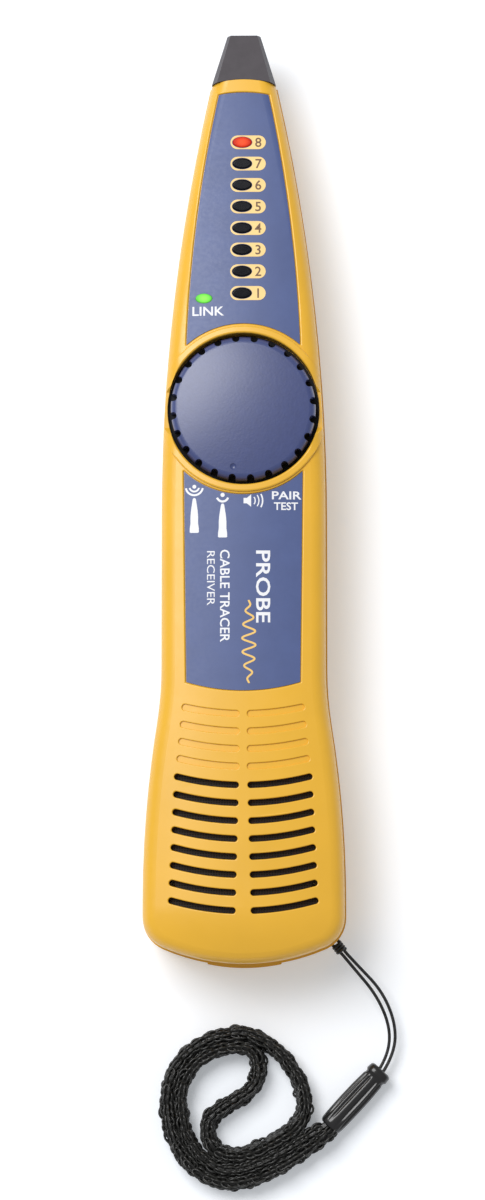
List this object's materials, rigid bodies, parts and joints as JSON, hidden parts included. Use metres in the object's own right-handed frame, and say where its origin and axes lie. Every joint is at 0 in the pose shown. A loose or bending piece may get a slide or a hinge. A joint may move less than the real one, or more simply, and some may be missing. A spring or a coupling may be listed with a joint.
{
  "type": "cable tone probe",
  "caption": "Handheld tone tracing probe with tapering yellow case, blue face labels, knurled selector dial, signal lamps, speaker grille, pull-off tip and knitted wrist strap.",
  "frame": {"origin": "centre of the probe footprint at the height of the flat back it rests on, measured without the strap", "axes": "+Z out of the face with the dial, +Y along the case toward the tip, +X to the right seen from the face"},
  "size_m": [0.066, 0.301, 0.0333],
  "materials": {
    "case_yellow": "fine satin texture",
    "label_blue": "satin printed film",
    "dial_blue": "fine texture under a soft gloss",
    "tip_black": "satin",
    "lens_smoke": "clear gloss",
    "lens_red": "clear gloss",
    "lens_green": "clear gloss",
    "board_green": "satin solder mask",
    "chip_black": "matt moulded",
    "led_white": "gloss",
    "can_metal": "satin",
    "steel": "satin",
    "screw_steel": "zinc plated",
    "nylon_white": "matt",
    "switch_black": "matt",
    "shaft_nylon": "satin",
    "speaker_steel": "satin",
    "cone_paper": "matt pulp",
    "magnet_dark": "satin",
    "cloth_black": "woven",
    "foam_dark": "matt foam",
    "battery_case": "satin",
    "brass": "plated",
    "lead_red": "satin",
    "lead_black": "satin",
    "ferrite": "matt",
    "copper": "enamelled",
    "strap_black": "open knit",
    "string_black": "braided",
    "ferrule_black": "gloss"
  },
  "bodies": {
    "probe": {"amplifier_chip": "chip_black", "battery": "battery_case", "battery_lead_black": "lead_black", "battery_lead_red": "lead_red", "battery_snap": "foam_dark", "battery_terminals": "brass", "board_screws": "screw_steel", "board_sockets": "nylon_white", "case_screws": "screw_steel", "crystal": "can_metal", "dial_seal": "foam_dark", "filter_chip": "chip_black", "front_shell": "case_yellow", "grille_cloth": "cloth_black", "lanyard_post": "steel", "lanyard_string": "string_black", "level_leds": "led_white", "level_lens_1": "lens_smoke", "level_lens_2": "lens_smoke", "level_lens_3": "lens_smoke", "level_lens_4": "lens_smoke", "level_lens_5": "lens_smoke", "level_lens_6": "lens_smoke", "level_lens_7": "lens_smoke", "level_lens_8": "lens_red", "link_led": "led_white", "link_lens": "lens_green", "lower_label": "label_blue", "main_board": "board_green", "nose_collar": "nylon_white", "pickup_core": "ferrite", "pickup_winding": "copper", "processor_chip": "chip_black", "rear_shell": "case_yellow", "rotary_switch": "switch_black", "small_parts": "nylon_white", "speaker_cone": "cone_paper", "speaker_frame": "speaker_steel", "speaker_gasket": "foam_dark", "speaker_leads": "lead_black", "speaker_magnet": "magnet_dark", "speaker_screws": "screw_steel", "storage_capacitors": "can_metal", "strap_ferrule": "ferrule_black", "upper_label": "label_blue", "wrist_strap": "strap_black"},
    "dial": {"selector_dial": "dial_blue", "switch_shaft": "shaft_nylon"},
    "door": {"battery_door": "case_yellow", "battery_pad": "foam_dark"},
    "tip": {"tip_cap": "tip_black"}
  },
  "joints": [
    {"name": "dial_turn", "type": "hinge", "parent": "probe", "child": "dial", "pos_m": [0, 0.0218, 0.0258], "axis": [0, 0, 1], "range_deg": [-36, 36]},
    {"name": "door_slide", "type": "slide", "parent": "probe", "child": "door", "axis": [0, -1, 0], "range_m": [0, 0.01]},
    {"name": "tip_pull", "type": "slide", "parent": "probe", "child": "tip", "axis": [0, 1, 0], "range_m": [0, 0.012]}
  ]
}
